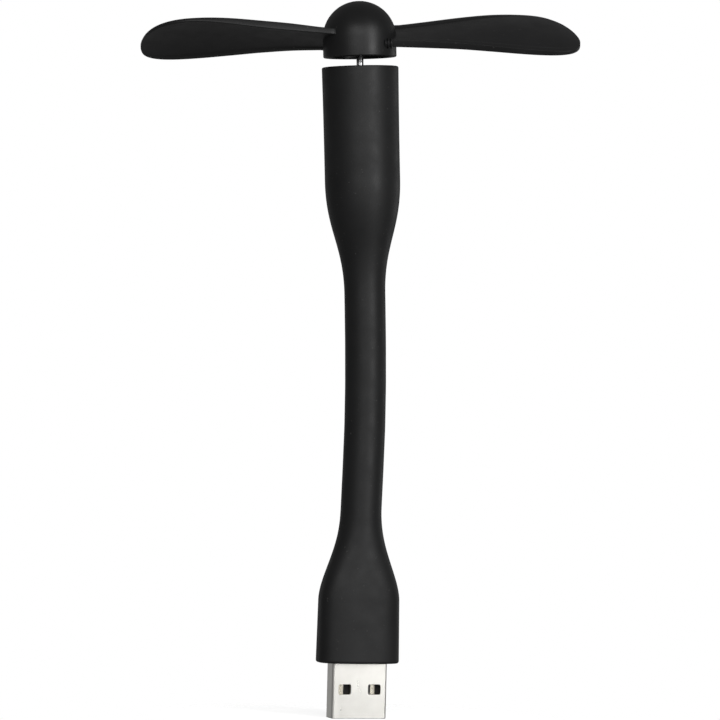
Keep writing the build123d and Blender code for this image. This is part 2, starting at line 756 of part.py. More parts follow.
def motor_shaft():
    """The steel shaft, from the rear bearing up into the propeller."""
    shaft = post(SHAFT_RADIUS, SHAFT_BOTTOM, SHAFT_TOP)
    return chamfer(shaft.edges().filter_by(GeomType.CIRCLE), SHAFT_RADIUS / 5)


def rotor_core():
    """The stack of laminations: a collar, and three stems with curved shoes."""
    solid = post(COLLAR_RADIUS, ROTOR_BOTTOM, ROTOR_TOP)
    shoe_inner = ROTOR_RADIUS - POLE_SHOE
    half = math.radians(POLE_ARC / 2)
    corner = (FAR * math.cos(half), FAR * math.sin(half))
    sector = make_face(Polyline((0, 0), corner, (corner[0], -corner[1]), close=True))
    for i in range(POLES):
        shoe = ring(ROTOR_RADIUS, shoe_inner, ROTOR_BOTTOM, ROTOR_TOP)
        shoe = shoe & Pos(0, 0, ROTOR_BOTTOM) * extrude(sector, ROTOR_LENGTH)
        stem = block(0, shoe_inner + POLE_SHOE / 2, -POLE_STEM / 2, POLE_STEM / 2, ROTOR_BOTTOM, ROTOR_TOP)
        solid += Rot(0, 0, 360 / POLES * i) * (shoe + stem)
    return solid - post(SHAFT_RADIUS, ROTOR_BOTTOM, ROTOR_TOP)


def rotor_coils():
    """One coil of copper wire round each stem."""
    inner = COLLAR_RADIUS + COIL_ROOM
    outer = ROTOR_RADIUS - POLE_SHOE - COIL_ROOM
    outside = block(
        inner,
        outer,
        -COIL_WIDTH / 2,
        COIL_WIDTH / 2,
        ROTOR_BOTTOM - COIL_OVERHANG,
        ROTOR_TOP + COIL_OVERHANG,
    )
    outside = fillet(outside.edges().filter_by(Axis.X), COIL_WIDTH / 6)
    coil = outside - block(inner, outer, -POLE_STEM / 2, POLE_STEM / 2, ROTOR_BOTTOM, ROTOR_TOP)
    half = math.tan(math.radians(180 / POLES)) * FAR
    room = make_face(Polyline((0, 0), (FAR, half), (FAR, -half), close=True))
    low = ROTOR_BOTTOM - COIL_OVERHANG
    coil = coil & Pos(COIL_ROOM, 0, low) * extrude(room, ROTOR_LENGTH + 2 * COIL_OVERHANG)
    coil = coil & post(outer, low, ROTOR_TOP + COIL_OVERHANG)
    return [Rot(0, 0, 360 / POLES * i) * coil for i in range(POLES)]


def commutator_core():
    """The plastic sleeve that carries the commutator's segments."""
    top = COMMUTATOR_BOTTOM + COMMUTATOR_LENGTH
    return ring(COMMUTATOR_CORE_RADIUS, SHAFT_RADIUS, COMMUTATOR_BOTTOM, top)


def commutator_segments():
    """Three copper segments with slots between them."""
    top = COMMUTATOR_BOTTOM + COMMUTATOR_LENGTH
    drum = ring(COMMUTATOR_RADIUS, COMMUTATOR_CORE_RADIUS, COMMUTATOR_BOTTOM, top)
    for i in range(POLES):
        slot = block(0, FAR, -COMMUTATOR_SLOT / 2, COMMUTATOR_SLOT / 2, COMMUTATOR_BOTTOM, top)
        drum -= Rot(0, 0, 360 / POLES * (i + 0.5)) * slot
    return list(drum.solids())


def rotor_washers():
    """A slip washer above and below the rotor."""
    clear = SHAFT_RADIUS + RUNNING_CLEARANCE
    front = FRONT_BEARING_BOTTOM - WASHER_THICKNESS
    return [
        ring(WASHER_DIAMETER / 2, clear, front, FRONT_BEARING_BOTTOM),
        ring(WASHER_DIAMETER / 2, clear, REAR_BEARING_TOP, REAR_BEARING_TOP + WASHER_THICKNESS),
    ]


# ---- Propeller ----


def blade_section(reach, rising, falling, thickness, twist, grow=0.0):
    """The blade's section at a distance from the motor's axis: a long slot, turned by its twist."""
    slot = SlotOverall(rising + falling + 2 * grow, thickness + 2 * grow)
    flat = Plane(origin=(reach, 0, 0), x_dir=(0, 1, 0), z_dir=(1, 0, 0))
    return Rot(twist, 0, 0) * flat * Pos((rising - falling) / 2, 0) * slot


def blade_place(number):
    """Where a blade that is drawn flat along +X goes on the spinner."""
    tilt = Pos(0, 0, BLADE_AXIS) * Rot(0, BLADE_TILT, 0)
    return tilt * Rot(0, 0, 180 * number) * Rot(BLADE_PITCHES[number], 0, 0)


def blade_tab(grow=0.0):
    """The flat tab at the blade's root that passes through the spinner's wall."""
    section = blade_section(TAB_RADIUS - grow, *BLADE_STATIONS[0][1:], grow)
    return extrude(section, BLADE_ROOT_RADIUS - TAB_RADIUS + grow, dir=(1, 0, 0))


def blade(number):
    """One soft blade: its tab, the barb inside the spinner, and the paddle."""
    length = BLADE_TIP_RADIUS - BLADE_ROOT_RADIUS
    sections = [
        blade_section(BLADE_ROOT_RADIUS + share * length, *station) for share, *station in BLADE_STATIONS
    ]
    place = blade_place(number)
    barb = Pos(TAB_RADIUS, 0, 0) * Cylinder(BARB_RADIUS, BARB_LENGTH, rotation=(90, 0, 0))
    return place * (loft(sections) + blade_tab()) + (place * barb & bullet(HUB_INNER - BARB_CLEARANCE))


def bullet(radius):
    """A round bar with a domed top, from the edge of the spinner's skirt."""
    outline = Curve() + [
        Line((0, SKIRT_EDGE), (radius, SKIRT_EDGE)),
        Line((radius, SKIRT_EDGE), (radius, DOME_CENTRE)),
        CenterArc((0, DOME_CENTRE), radius, 0, 90),
        Line((0, DOME_CENTRE + radius), (0, SKIRT_EDGE)),
    ]
    return turned(outline)


def spinner_hub():
    """The domed spinner: a thin cup with a central boss on two ribs, slotted for the blades."""
    dome_top = DOME_CENTRE + HUB_RADIUS
    cup = bullet(HUB_RADIUS)
    cup = fillet(cup.edges().filter_by(GeomType.CIRCLE).sort_by(Axis.Z)[0], SKIRT_ROUND)
    cavity = bullet(HUB_INNER)
    boss = post(BOSS_RADIUS, BOSS_BOTTOM, dome_top)
    rib = block(-HUB_RIB / 2, HUB_RIB / 2, -HUB_RADIUS, HUB_RADIUS, BOSS_BOTTOM + HUB_BOSS_LIFT, dome_top)
    solid = (cup - cavity) + ((boss + rib) & cavity)
    solid -= post(BUSH_RADIUS, BOSS_BOTTOM, BUSH_TOP)
    for number in range(2):
        solid -= blade_place(number) * blade_tab(SLOT_CLEARANCE)
    return solid


def hub_bush():
    """The hard bush that grips the shaft."""
    return ring(BUSH_RADIUS, SHAFT_RADIUS, BUSH_BOTTOM, SHAFT_TOP) + post(BUSH_RADIUS, SHAFT_TOP, BUSH_TOP)


# ---- Assembly ----


def base_nodes():
    return {
        "plug_shell": plug_shell(),
        "plug_tongue": plug_tongue(),
        "plug_contacts": plug_contacts(),
        "plug_solder": plug_solder(),
        "plug_mould": plug_mould(),
        "base_leads": base_leads(),
        "base_core_wire": base_core_wire(),
        "base_sleeve": base_sleeve(),
    }


def neck_nodes(k):
    low, high = joint_height(k - 1), joint_height(k)
    return {
        f"neck_sleeve_{k:02d}": neck_sleeve(k),
        f"neck_core_wire_{k:02d}": neck_wires(k, [core_wire(low, high)]),
        f"neck_leads_{k:02d}": neck_wires(k, straight_leads(low, high)),
    }


def head_nodes():
    return {
        "head_sleeve": head_sleeve(),
        "head_cap": head_cap(),
        "head_core_wire": head_core_wire(),
        "head_leads": head_leads(),
        "motor_holder": motor_holder(),
        "motor_can": motor_can(),
        "motor_magnets": motor_magnets(),
        "motor_end_cap": motor_end_cap(),
        "motor_brushes": brushes(),
        "motor_terminals": terminals(),
        "terminal_solder": terminal_solder(),
        "motor_bearings": motor_bearings(),
    }


def propeller_nodes():
    return {
        "spinner_hub": spinner_hub(),
        "hub_bush": hub_bush(),
        "blade_1": blade(0),
        "blade_2": blade(1),
        "motor_shaft": motor_shaft(),
        "rotor_core": rotor_core(),
        "rotor_coils": rotor_coils(),
        "rotor_washers": rotor_washers(),
        "commutator_core": commutator_core(),
        "commutator_segments": commutator_segments(),
    }


def write(nodes, place):
    """Writes each node's solids, set in their resting place."""
    for name, shape in nodes.items():
        solids = shape if isinstance(shape, list) else [shape]
        moved = [solid for piece in solids for solid in (place * piece).solids()]
        export_step(moved[0] if len(moved) == 1 else Compound(moved), f"parts/{name}.step")


def main():
    os.makedirs("parts", exist_ok=True)
    places = resting_places()
    write(base_nodes(), places[0])
    for k in range(1, NECK_JOINTS):
        write(neck_nodes(k), places[k])
    write(head_nodes(), places[NECK_JOINTS])
    write(propeller_nodes(), places[NECK_JOINTS] * Rot(0, 0, PARKED_ANGLE))


if __name__ == "__main__":
    main()
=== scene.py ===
# %% [markdown]
# # A bendable desk fan that stands on its USB plug
# The fan is a soft silicone body with a small motor in its head and a steel plug at its foot. Its hard
# parts come from an exact model, which is loaded first and never changed. What a person sees and touches
# is then made again here with smooth surfaces, and each finish is made from nodes.

# %% Load the exact model
import json
import math

import bpy
import numpy as np
from mathutils import Matrix, Vector


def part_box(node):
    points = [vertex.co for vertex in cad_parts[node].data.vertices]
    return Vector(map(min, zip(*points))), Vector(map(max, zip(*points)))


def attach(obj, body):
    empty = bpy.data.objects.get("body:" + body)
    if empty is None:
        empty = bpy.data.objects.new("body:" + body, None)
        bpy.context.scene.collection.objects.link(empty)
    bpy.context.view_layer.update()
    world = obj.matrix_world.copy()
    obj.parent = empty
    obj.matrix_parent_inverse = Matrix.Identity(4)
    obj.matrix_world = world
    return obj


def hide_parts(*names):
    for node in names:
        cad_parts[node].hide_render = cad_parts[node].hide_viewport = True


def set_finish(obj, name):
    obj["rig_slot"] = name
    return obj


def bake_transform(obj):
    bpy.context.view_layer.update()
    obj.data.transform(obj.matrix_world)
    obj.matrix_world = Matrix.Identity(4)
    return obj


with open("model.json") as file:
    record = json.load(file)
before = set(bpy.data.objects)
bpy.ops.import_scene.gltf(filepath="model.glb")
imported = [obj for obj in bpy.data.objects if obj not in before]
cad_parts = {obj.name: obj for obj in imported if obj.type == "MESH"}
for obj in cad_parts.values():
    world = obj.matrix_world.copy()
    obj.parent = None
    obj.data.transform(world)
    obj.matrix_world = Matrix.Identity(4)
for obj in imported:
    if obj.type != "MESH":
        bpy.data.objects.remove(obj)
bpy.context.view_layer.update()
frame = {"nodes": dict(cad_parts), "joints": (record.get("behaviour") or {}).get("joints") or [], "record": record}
scene = bpy.context.scene
MM = 0.001

# %% [markdown]
# ## The line that the body follows
# The real neck has a steel wire in it that keeps the bend it is given, and here it rests in a slight bow.
# Each hinge of the exact model turns the body by a small angle. A sharp turn would show as a kink, so the
# angle is spread evenly over the length between two hinges, and the line is the running sum of those
# directions. A curve object could carry the body too, but a formula keeps every ring where it is wanted.

# %% The centreline
hinges = [j for j in frame["joints"] if j["name"].startswith("neck_")]
hinges.sort(key=lambda j: j["pos_m"][2])
spin = next(j for j in frame["joints"] if j["name"] == "propeller_spin")
hinge_at = np.array([j["pos_m"] for j in hinges]) / MM
spin_at = np.array(spin["pos_m"]) / MM
spin_axis = np.array(spin["axis"])
steps = np.diff(hinge_at, axis=0)
PITCH = float(np.linalg.norm(steps, axis=1).mean())
FIRST = float(hinge_at[0][2])
hinge_s = FIRST + PITCH * np.arange(len(hinges))
NECK_TOP = float(hinge_s[-1])
RIM = NECK_TOP + float(np.linalg.norm(spin_at - hinge_at[-1]))
head_lean = math.atan2(spin_axis[0], spin_axis[2])
lean_of = np.concatenate([[0.0], np.arctan2(steps[:, 0], steps[:, 2]), [head_lean]])


def smooth(x):
    """0 below 0, 1 above 1, and three x squared less two x cubed between."""
    x = np.clip(x, 0.0, 1.0)
    return x * x * (3 - 2 * x)


LINE_BELOW, LINE_ABOVE, LINE_POINTS = 2.0, 4.0, 6601
fine_s = np.linspace(-LINE_BELOW, RIM + LINE_ABOVE, LINE_POINTS)
fine_lean = sum(
    (lean_of[k + 1] - lean_of[k]) * smooth((fine_s - s) / PITCH + 0.5) for k, s in enumerate(hinge_s)
)
fine_step = np.diff(fine_s, prepend=fine_s[0])
fine_x = np.cumsum(np.sin(fine_lean) * fine_step)
fine_z = np.cumsum(np.cos(fine_lean) * fine_step) + fine_s[0]


def on_line(s, x, y):
    """Point at distance s along the line, x to its side and y in front of it, in metres."""
    s, x, y = np.broadcast_arrays(s, x, y)
    lean = np.interp(s, fine_s, fine_lean)
    px = np.interp(s, fine_s, fine_x) + x * np.cos(lean)
    pz = np.interp(s, fine_s, fine_z) - x * np.sin(lean)
    return np.stack([px, y, pz], axis=-1) * MM


print("hinges:", len(hinges), "pitch mm:", round(PITCH, 3), "rim at mm:", round(RIM, 2))
print("lean of the head, degrees:", round(math.degrees(lean_of[-1]), 2))

# %% [markdown]
# ## From a grid of points to a mesh
# Every new piece is a grid: rows along the piece and columns around it. Both directions can close on
# themselves, and a row that shrinks to a point can be closed with a fan of triangles. Working on whole
# arrays keeps the formula of each shape visible and is much faster than a loop over vertices.


# %% Grid to mesh
def grid_piece(name, points, close_rows=False, caps=False, sharp_rows=(), note=None):
    """A mesh from points[row, column, xyz]. Columns always close. Rows close on request, and caps adds a
    fan at each end, round the middle of the end row. Sharp rows keep a crisp edge. note is an extra
    vector for each point, kept as the attribute on_body."""
    rows, columns, _ = points.shape
    index = np.arange(rows * columns).reshape(rows, columns)
    upper = np.roll(index, -1, axis=0) if close_rows else index[1:]
    lower = index if close_rows else index[:-1]
    quads = np.stack(
        [lower, np.roll(lower, -1, axis=1), np.roll(upper, -1, axis=1), upper], axis=-1
    ).reshape(-1, 4)
    faces = quads.tolist()
    verts = points.reshape(-1, 3)
    extra = note.reshape(-1, 3) if note is not None else None
    if caps:
        ends = np.stack([points[0].mean(axis=0), points[-1].mean(axis=0)])
        first, last = rows * columns, rows * columns + 1
        turn = np.roll(index[0], -1)
        faces += np.stack([turn, index[0], np.full(columns, first)], axis=-1).tolist()
        turn = np.roll(index[-1], -1)
        faces += np.stack([index[-1], turn, np.full(columns, last)], axis=-1).tolist()
        verts = np.concatenate([verts, ends])
        if extra is not None:
            extra = np.concatenate([extra, note[0].mean(axis=0)[None], note[-1].mean(axis=0)[None]])
    mesh = bpy.data.meshes.new(name)
    mesh.from_pydata(verts.tolist(), [], faces)
    mesh.polygons.foreach_set("use_smooth", np.ones(len(faces), bool))
    if len(sharp_rows):
        ends = np.zeros(len(mesh.edges) * 2, np.int32)
        mesh.edges.foreach_get("vertices", ends)
        row = ends.reshape(-1, 2) // columns
        hard = (row[:, 0] == row[:, 1]) & np.isin(row[:, 0], np.array(sharp_rows) % rows)
        crisp = mesh.attributes.new("sharp_edge", "BOOLEAN", "EDGE")
        crisp.data.foreach_set("value", hard)
    if extra is not None:
        held = mesh.attributes.new("on_body", "FLOAT_VECTOR", "POINT")
        held.data.foreach_set("vector", extra.astype(np.float32).ravel())
    mesh.validate()
    mesh.update()
    piece = bpy.data.objects.new(name, mesh)
    scene.collection.objects.link(piece)
    return piece


def finish_piece(piece, body, slot, *nodes):
    """Rides the piece on its body, says which finish it has and hides the nodes of the model that it stands for.
    """
    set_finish(piece, slot)
    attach(piece, body)
    if nodes:
        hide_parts(*nodes)
    print(piece.name, "faces:", len(piece.data.polygons), "on", body)
    return piece


# %% [markdown]
# ## The silicone body
# On the real fan the body is moulded in one piece: a flattened base round the plug, a slim neck and a
# round head. Its section is a superellipse, which is an ellipse whose corners can be made squarer with
# one number. The base is squarer, and the number falls to 2, a plain circle, where the neck begins.


# %% The section at each height
BASE_HALF_WIDTH = float(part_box("base_sleeve")[1].x) / MM
BASE_HALF_DEPTH = float(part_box("base_sleeve")[1].y) / MM
NECK_RADIUS = float(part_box("neck_sleeve_03")[1].y) / MM
HEAD_RADIUS = float(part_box("head_sleeve")[1].y) / MM
BASE_STRAIGHT, BASE_DRAFT, FLARE_END, FLARE_SKEW = 13.0, 0.2, FIRST + 1.5, 1.3
SHOULDER_ROUND, SQUARENESS = 0.5, 2.9
TAPER_FROM, TAPER_TO, TAPER_HANDLE = NECK_TOP + 1.2, RIM - 24.0, 0.44
RIM_FLARE, RIM_ROUND = 0.15, 0.35


def half_sizes(s):
    """Half width, half depth and squareness of the body at distance s along the line: a drafted base, an
    S-shaped flare down to the neck, an S-shaped curve of four Bezier points up to the head, and a rim
    that opens a little."""
    draft = BASE_DRAFT * np.clip(s / BASE_STRAIGHT, 0, 1)
    up = np.clip((s - BASE_STRAIGHT) / (FLARE_END - BASE_STRAIGHT), 0, 1)
    share = 1 - smooth((1 - up) ** FLARE_SKEW)
    wide = (BASE_HALF_WIDTH - draft) * (1 - share) + NECK_RADIUS * share
    deep = (BASE_HALF_DEPTH - draft) * (1 - share) + NECK_RADIUS * share
    square = SQUARENESS * (1 - share) + 2 * share
    t = np.linspace(0, 1, 200)
    h = TAPER_HANDLE * (TAPER_TO - TAPER_FROM)
    along = 3 * t * (1 - t) ** 2 * h + 3 * t * t * (1 - t) * (TAPER_TO - TAPER_FROM - h)
    along = TAPER_FROM + along + t**3 * (TAPER_TO - TAPER_FROM)
    straight = HEAD_RADIUS - RIM_FLARE
    radius = NECK_RADIUS + (straight - NECK_RADIUS) * smooth(t)
    head = np.interp(s, along, radius)
    open_up = np.clip((s - TAPER_TO) / (RIM - TAPER_TO), 0, 1)
    head = head + RIM_FLARE * open_up**2
    on_head = s > TAPER_FROM
    return np.where(on_head, head, wide), np.where(on_head, head, deep), square


COLUMNS = 128
around = np.linspace(0, 2 * math.pi, COLUMNS, endpoint=False)


def section(s, inset, wall):
    """Ring of points at distance s: the superellipse |x/a|^n + |y/b|^n = 1, with a and b made smaller by
    the inset. wall is what is left of the thickness for an inner ring, or None for the outside."""
    s, inset = np.atleast_1d(s)[:, None], np.atleast_1d(inset)[:, None]
    wide, deep, square = half_sizes(s)
    if wall is not None:
        wide, deep = wide - wall, deep - wall
    wide, deep = wide - inset, deep - inset
    c, k = np.cos(around), np.sin(around)
    x = wide * np.sign(c) * np.abs(c) ** (2 / square)
    y = deep * np.sign(k) * np.abs(k) ** (2 / square)
    return on_line(s, x, y), np.stack([x, y, s + 0 * x], axis=-1) * MM


def skin(name, low, high, wall, step, low_round=0.0, high_round=0.0):
    """A closed tube of silicone between two distances: the outside going up, then the inside coming down.
    An end can be rounded: the inset there is r less the square root of r^2 - (r - d)^2."""
    turns = np.linspace(0, math.pi / 2, 7)[1:]
    count = max(int(round((high - low) / step)), 4)
    s = np.linspace(low + low_round, high - high_round, count + 1)
    inset = np.zeros_like(s)
    if low_round:
        s = np.concatenate([low + low_round * (1 - np.sin(turns[::-1])), s])
        inset = np.concatenate([low_round * (1 - np.cos(turns[::-1])), inset])
    if high_round:
        s = np.concatenate([s, high - high_round * (1 - np.sin(turns))])
        inset = np.concatenate([inset, high_round * (1 - np.cos(turns))])
    outside, outside_note = section(s, inset, None)
    inner_s = np.linspace(high, low, max(count // 3, 3))
    inside, inside_note = section(inner_s, 0 * inner_s, wall)
    points = np.concatenate([outside, inside])
    note = np.concatenate([outside_note, inside_note])
    sharp = [0, len(s) - 1, len(s), len(points) - 1]
    return grid_piece(name, points, close_rows=True, sharp_rows=sharp, note=note)


print("base half width, half depth mm:", round(BASE_HALF_WIDTH, 2), round(BASE_HALF_DEPTH, 2))

# %% [markdown]
# ## Base, neck and head
# The neck has to bend in every pose, so it is a row of short tubes, one at each hinge. Each tube starts
# in the middle of the piece below the hinge and ends in the middle of the piece above it, and turns
# smoothly from one to the other. Neighbours share a ring of points, so no seam shows between them.
# Here the tubes are built where the neck rests and are not tied to its hinges.

# %% Skins
WALL = 1.25
BASE_STEP, NECK_STEP, HEAD_STEP = 0.25, 0.28, 0.3
neck_low, neck_high = float(hinge_s[0] - PITCH / 2), float(hinge_s[-1] + PITCH / 2)
base_skin = skin("base_skin", 0.0, neck_low, WALL, BASE_STEP, low_round=SHOULDER_ROUND)
finish_piece(base_skin, "base", "silicone", "base_sleeve")
head_skin = skin("head_skin", neck_high, RIM, WALL, HEAD_STEP, high_round=RIM_ROUND)
finish_piece(head_skin, "head", "silicone", "head_sleeve")
neck_skins = []
for k, s in enumerate(hinge_s):
    low, high = float(s - PITCH / 2), float(s + PITCH / 2)
    piece = skin(f"neck_skin_{k + 1:02d}", low, high, WALL, NECK_STEP)
    start = on_line(np.array([low]), 0.0, 0.0)[0].tolist()
    end = on_line(np.array([high]), 0.0, 0.0)[0].tolist()
    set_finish(piece, "silicone")
    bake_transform(piece)
    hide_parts(*[b for b in [f"neck_sleeve_{k:02d}"] if k > 0])
    neck_skins.append(piece)
print("neck skins:", len(neck_skins), "faces each:", len(neck_skins[0].data.polygons))

# %% [markdown]
# ## Turned parts of the head and the spinner
# The spinner, the cap in the rim and the motor shaft are all round, so each is a profile of radius and
# height, spun about the motor's axis. A list of corners with a rounding radius at each is enough to draw
# such a profile, as on a lathe drawing.

# %% Turned pieces
tilt_x = np.array([spin_axis[2], 0.0, -spin_axis[0]])
PARKED = math.radians(-16.0)
prop_x = tilt_x * math.cos(PARKED) + np.array([0.0, 1.0, 0.0]) * math.sin(PARKED)
prop_y = np.cross(spin_axis, prop_x)


def on_motor(x, y, z):
    """Point at x, y across the parked propeller and z above the rim of the head, in metres."""
    x, y, z = np.broadcast_arrays(x, y, z)
    return (spin_at + x[..., None] * prop_x + y[..., None] * prop_y + z[..., None] * spin_axis) * MM


def rounded(corners, turns=6):
    """Profile through the corners, each (radius, height, rounding). A rounding r swaps the corner for an
    arc that leaves and meets the two edges r times the tangent of half the turn away from it."""
    out = []
    for i, (x, z, r) in enumerate(corners):
        here = np.array([x, z])
        if r == 0 or i in (0, len(corners) - 1):
            out.append(here[None])
            continue
        back = np.array(corners[i - 1][:2]) - here
        on = np.array(corners[i + 1][:2]) - here
        back, on = back / np.linalg.norm(back), on / np.linalg.norm(on)
        half = math.acos(float(np.clip(back @ on, -1, 1))) / 2
        middle = here + (back + on) / np.linalg.norm(back + on) * r / math.sin(half)
        a, b = here + back * r / math.tan(half) - middle, here + on * r / math.tan(half) - middle
        sweep = np.linspace(0, 1, turns + 1)[:, None]
        opening = (math.pi / 2 - half) * 2
        arc = a * np.sin((1 - sweep) * opening) + b * np.sin(sweep * opening)
        out.append(middle + arc / math.sin(opening))
    return np.concatenate(out)


def turned(name, profile, columns=96, sharp=30.0):
    """A profile of (radius, height) spun about the motor's axis. Its ends lie on the axis. Corners
    sharper than the given angle stay crisp."""
    turn = np.linspace(0, 2 * math.pi, columns, endpoint=False)
    radius, height = profile[:, 0][:, None], profile[:, 1][:, None]
    points = on_motor(radius * np.cos(turn), radius * np.sin(turn), height + 0 * turn)
    leg = np.diff(profile, axis=0)
    heading = np.unwrap(np.arctan2(leg[:, 1], leg[:, 0]))
    crisp = np.nonzero(np.abs(np.diff(heading)) > math.radians(sharp))[0] + 1
    return grid_piece(name, points, caps=True, sharp_rows=crisp.tolist())


HUB_RADIUS, HUB_WALL, GAP, SKIRT = 7.78, 1.2, 2.0, 4.2
SKIRT_INNER_ROUND, SKIRT_OUTER_ROUND, POLE_RADIUS = 0.12, 0.3, 0.02
DOME_FOOT = GAP + SKIRT
dome = np.linspace(0, math.pi / 2, 33)[1:-1]
outer_dome = np.stack([HUB_RADIUS * np.cos(dome), DOME_FOOT + HUB_RADIUS * np.sin(dome)], axis=-1)
inner_radius = HUB_RADIUS - HUB_WALL
inner_dome = np.stack([inner_radius * np.cos(dome), DOME_FOOT + inner_radius * np.sin(dome)], axis=-1)[::-1]
skirt = rounded(
    [
        (inner_radius, DOME_FOOT, 0),
        (inner_radius, GAP, SKIRT_INNER_ROUND),
        (HUB_RADIUS, GAP, SKIRT_OUTER_ROUND),
        (HUB_RADIUS, DOME_FOOT, 0),
    ]
)
pole = np.array([[POLE_RADIUS, DOME_FOOT + inner_radius]])
top = np.array([[POLE_RADIUS, DOME_FOOT + HUB_RADIUS]])
spinner = turned("spinner", np.concatenate([pole, inner_dome, skirt, outer_dome, top]), columns=128)
finish_piece(spinner, "propeller", "spinner_plastic", "spinner_hub")
SHAFT_RADIUS, SHAFT_FOOT, SHAFT_TOP, SHAFT_ROUND, SHAFT_POLE = 0.75, -22.0, 9.0, 0.15, 0.01
shaft = turned(
    "shaft_visible",
    rounded(
        [
            (SHAFT_POLE, SHAFT_FOOT, 0),
            (SHAFT_RADIUS, SHAFT_FOOT, SHAFT_ROUND),
            (SHAFT_RADIUS, SHAFT_TOP, SHAFT_ROUND),
            (SHAFT_POLE, SHAFT_TOP, 0),
        ],
        turns=3,
    ),
    columns=48,
)
finish_piece(shaft, "propeller", "shaft_steel", "motor_shaft")

# %% [markdown]
# Under the dome a boss holds the bush of the exact model. The boss is turned as well. The cap in the rim
# is a ring with a groove, and its hole shows the end of the motor. It is a closed profile, so its rows
# close on themselves and it needs no ends on the axis.


# %% Boss and cap
def turned_ring(name, profile, columns=96, sharp=30.0):
    """A closed profile of (radius, height), spun about the motor's axis into a ring."""
    turn = np.linspace(0, 2 * math.pi, columns, endpoint=False)
    radius, height = profile[:, 0][:, None], profile[:, 1][:, None]
    points = on_motor(radius * np.cos(turn), radius * np.sin(turn), height + 0 * turn)
    leg = np.diff(np.concatenate([profile, profile[:1]]), axis=0)
    heading = np.arctan2(leg[:, 1], leg[:, 0])
    change = np.abs(np.angle(np.exp(1j * (heading - np.roll(heading, 1)))))
    crisp = np.nonzero(change > math.radians(sharp))[0]
    return grid_piece(name, points, close_rows=True, sharp_rows=crisp.tolist())


BOSS_BORE, BOSS_RADIUS, BOSS_FOOT, BOSS_TOP, EDGE_BREAK = 1.7, 2.4, 2.9, 12.2, 0.1
boss_profile = np.array(
    [
        [BOSS_BORE, BOSS_FOOT],
        [BOSS_RADIUS - EDGE_BREAK, BOSS_FOOT],
        [BOSS_RADIUS, BOSS_FOOT + EDGE_BREAK],
        [BOSS_RADIUS, BOSS_TOP],
        [BOSS_BORE, BOSS_TOP],
    ]
)
boss = turned_ring("spinner_boss", boss_profile)
finish_piece(boss, "propeller", "spinner_plastic")
CAP_RADIUS, CAP_HOLE, CAP_FOOT, CAP_TOP = 6.6, 2.55, -1.45, -0.25
GROOVE_OUTER, GROOVE_INNER, GROOVE_FLOOR = 5.0, 4.15, -0.65
cap_profile = np.array(
    [
        [CAP_HOLE, CAP_FOOT],
        [CAP_RADIUS, CAP_FOOT],
        [CAP_RADIUS, CAP_TOP - EDGE_BREAK],
        [CAP_RADIUS - EDGE_BREAK, CAP_TOP],
        [GROOVE_OUTER, CAP_TOP],
        [GROOVE_OUTER, GROOVE_FLOOR],
        [GROOVE_INNER, GROOVE_FLOOR],
        [GROOVE_INNER, CAP_TOP],
        [CAP_HOLE + EDGE_BREAK, CAP_TOP],
        [CAP_HOLE, CAP_TOP - EDGE_BREAK],
    ]
)
cap = turned_ring("rim_cap", cap_profile)
finish_piece(cap, "head", "mould_plastic", "head_cap")

# %% [markdown]
# ## The blades
# A soft blade is a thin web with a thicker lip along each edge, which stiffens it. The lips get thinner
# towards the tip. One blade is a grid: rows run from root to tip, and columns go round the section.
# Each list below gives one value at each share of the way from root to tip, and a smooth curve joins
# them: the distance of the rising and the falling edge from the blade's axis, the twist in degrees, how
# far the section sits below the axis, the thickness of each lip and of the web, and the height of the
# arch. A pair of lists is for the first and the second blade, which are soft and don't sit quite alike:
# the second one's root is pressed in a little lower. The spacing of the rows closes up towards the tip,
# so that the round end is as even as the rest.

# %% The blade's outline
BLADE_TIP, BLADE_ROOT, BLADE_AXIS, BLADE_TILT = 46.6, 8.4, GAP + 4.37, 0.55
BLADE_PITCHES = (26.0, 20.5)
SHARES = np.array([0.0, 0.15, 0.32, 0.5, 0.66, 0.79, 0.89, 0.955, 0.99, 1.0])
RISINGS = (
    np.array([5.9, 7.1, 8.5, 9.8, 10.1, 9.0, 5.8, 1.8, -2.0, -4.6]),
    np.array([5.9, 7.1, 8.5, 9.8, 10.1, 9.1, 6.6, 3.0, -1.0, -3.9]),
)
FALLINGS = (
    np.array([5.5, 5.6, 6.0, 7.2, 8.6, 9.6, 9.9, 9.2, 7.4, 4.6]),
    np.array([5.5, 5.6, 6.0, 7.2, 8.6, 9.5, 9.6, 8.8, 7.0, 3.9]),
)
TWISTS = (
    np.array([-7.0, -4.2, -1.6, 0.0, 0.5, 0.5, 0.5, 0.5, 0.5, 0.5]),
    np.array([-5.2, -3.6, -1.6, 0.0, 0.5, 0.5, 0.5, 0.5, 0.5, 0.5]),
)
SINKS = (0 * SHARES, np.array([0.27, 0.16, 0.23, 0.20, 0.08, 0.0, 0.0, 0.0, 0.0, 0.0]))
ROOT_SINKS = (0.0, 4.0)
RISING_LIPS = (
    np.array([1.80, 1.75, 1.65, 1.35, 0.95, 0.82, 0.80, 0.75, 0.70, 0.60]),
    np.array([1.40, 1.65, 1.65, 1.35, 0.95, 0.82, 0.80, 0.75, 0.70, 0.60]),
)
FALLING_LIP = np.array([1.60, 1.55, 1.45, 1.35, 1.25, 1.15, 0.95, 0.80, 0.70, 0.60])
WEB = np.array([1.10, 1.00, 0.90, 0.85, 0.80, 0.80, 0.80, 0.75, 0.70, 0.60])
ARCH = np.array([0.10, 0.30, 0.60, 0.90, 1.05, 1.00, 0.70, 0.35, 0.10, 0.0])
LIP_WIDTH, LIP_STEP, RISING_CORNER, FALLING_CORNER = 1.0, 0.5, 0.26, 0.06
CORNER_LIMIT = 0.45  # of the lip's thickness, for both of its corners
ROOT_ROWS, LAST_ROW = [-0.10, -0.05], 0.998  # rows inside the spinner, and the last before the tip


